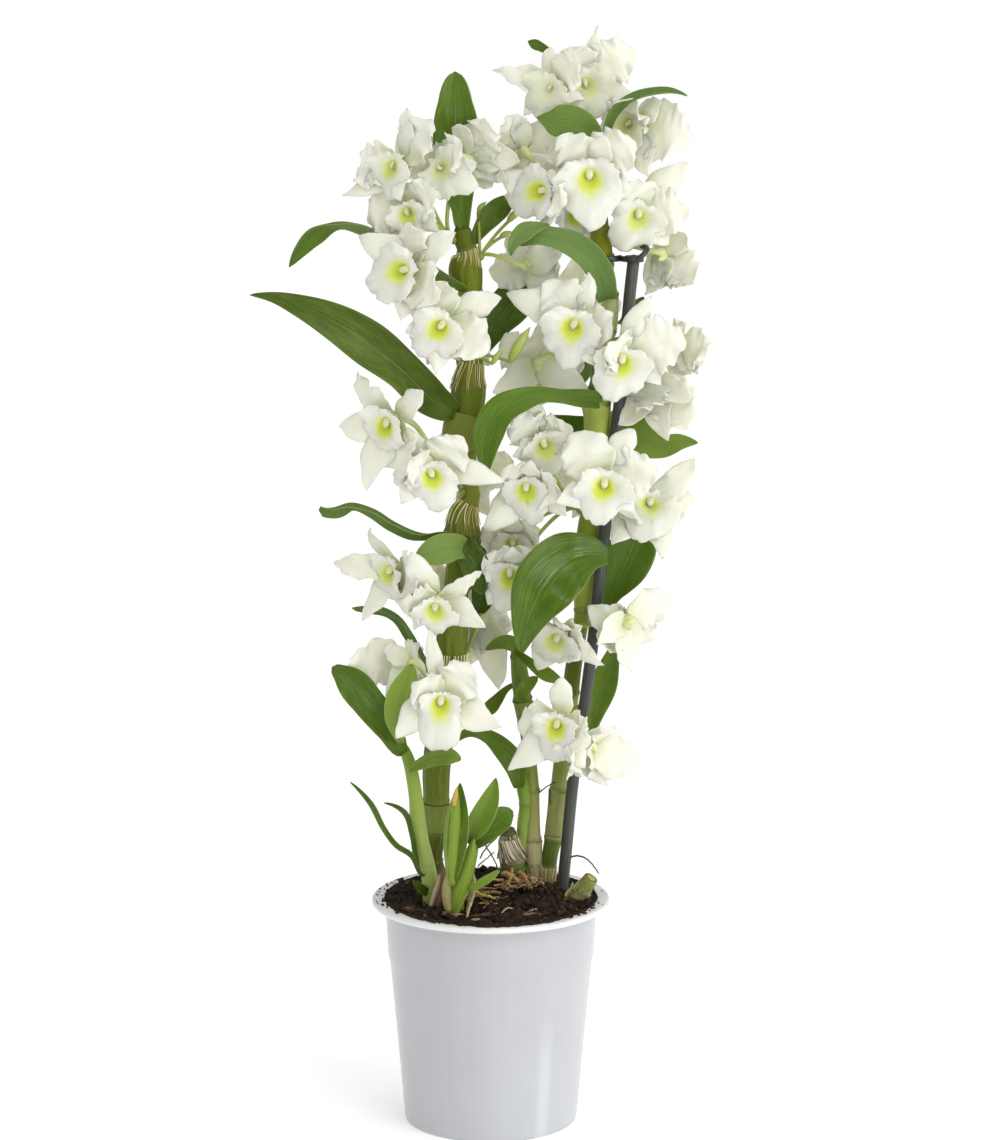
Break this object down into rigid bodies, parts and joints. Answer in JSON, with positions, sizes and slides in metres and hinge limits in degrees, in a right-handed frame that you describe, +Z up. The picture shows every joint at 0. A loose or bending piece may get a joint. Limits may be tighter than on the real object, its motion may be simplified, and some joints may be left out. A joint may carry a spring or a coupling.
{
  "type": "potted dendrobium orchid",
  "caption": "Dendrobium orchid in flower, with tall leafy canes tied to a stake, growing in a round white plastic pot.",
  "frame": {"origin": "centre of the pot's flat base, on the surface it stands on", "axes": "+Z up along the pot's axis, -Y towards the side the flowers mostly face, +X to the right of that side"},
  "size_m": [0.2257, 0.1445, 0.5504],
  "materials": {
    "pot_plastic": "gloss",
    "stake_plastic": "satin",
    "clip_plastic": "satin",
    "cane": "satin",
    "shoot": "satin",
    "dry_sheath": "matte",
    "potting_mix": "matte",
    "root": "matte",
    "leaf": "satin",
    "petal": "satin"
  },
  "bodies": {
    "root": {"centre_cane": "cane", "clip": "clip_plastic", "cut_stub": "shoot", "flowers_left_back": "petal", "flowers_left_bud": "petal", "flowers_left_crown": "petal", "flowers_left_front": "petal", "flowers_left_high": "petal", "flowers_left_low": "petal", "flowers_left_mid": "petal", "flowers_left_top": "petal", "flowers_right_base": "petal", "flowers_right_crown": "petal", "flowers_right_front": "petal", "flowers_right_high": "petal", "flowers_right_low": "petal", "flowers_right_mid": "petal", "flowers_right_outer": "petal", "flowers_right_side": "petal", "flowers_right_top": "petal", "keiki": "shoot", "leaf_back_a": "leaf", "leaf_back_b": "leaf", "leaf_back_c": "leaf", "leaf_centre_dark": "leaf", "leaf_grass": "leaf", "leaf_keiki_front": "leaf", "leaf_keiki_right": "leaf", "leaf_left_arch": "leaf", "leaf_left_back": "leaf", "leaf_left_fold": "leaf", "leaf_left_large": "leaf", "leaf_left_slim": "leaf", "leaf_left_top": "leaf", "leaf_left_top_right": "leaf", "leaf_left_twist": "leaf", "leaf_right_arch": "leaf", "leaf_right_bit": "leaf", "leaf_right_bow": "leaf", "leaf_right_far": "leaf", "leaf_right_glossy": "leaf", "leaf_right_low": "leaf", "leaf_right_tip": "leaf", "leaf_right_top": "leaf", "leaf_right_top_left": "leaf", "leaf_right_upright": "leaf", "leaf_thin_top": "leaf", "leaf_young_front": "leaf", "leaf_young_left": "leaf", "leaf_young_right": "leaf", "left_cane": "cane", "old_stump": "dry_sheath", "pot": "pot_plastic", "potting_mix": "potting_mix", "right_cane": "cane", "roots": "root", "stake": "stake_plastic", "thin_shoot": "shoot", "young_shoot": "shoot"}
  },
  "joints": []
}
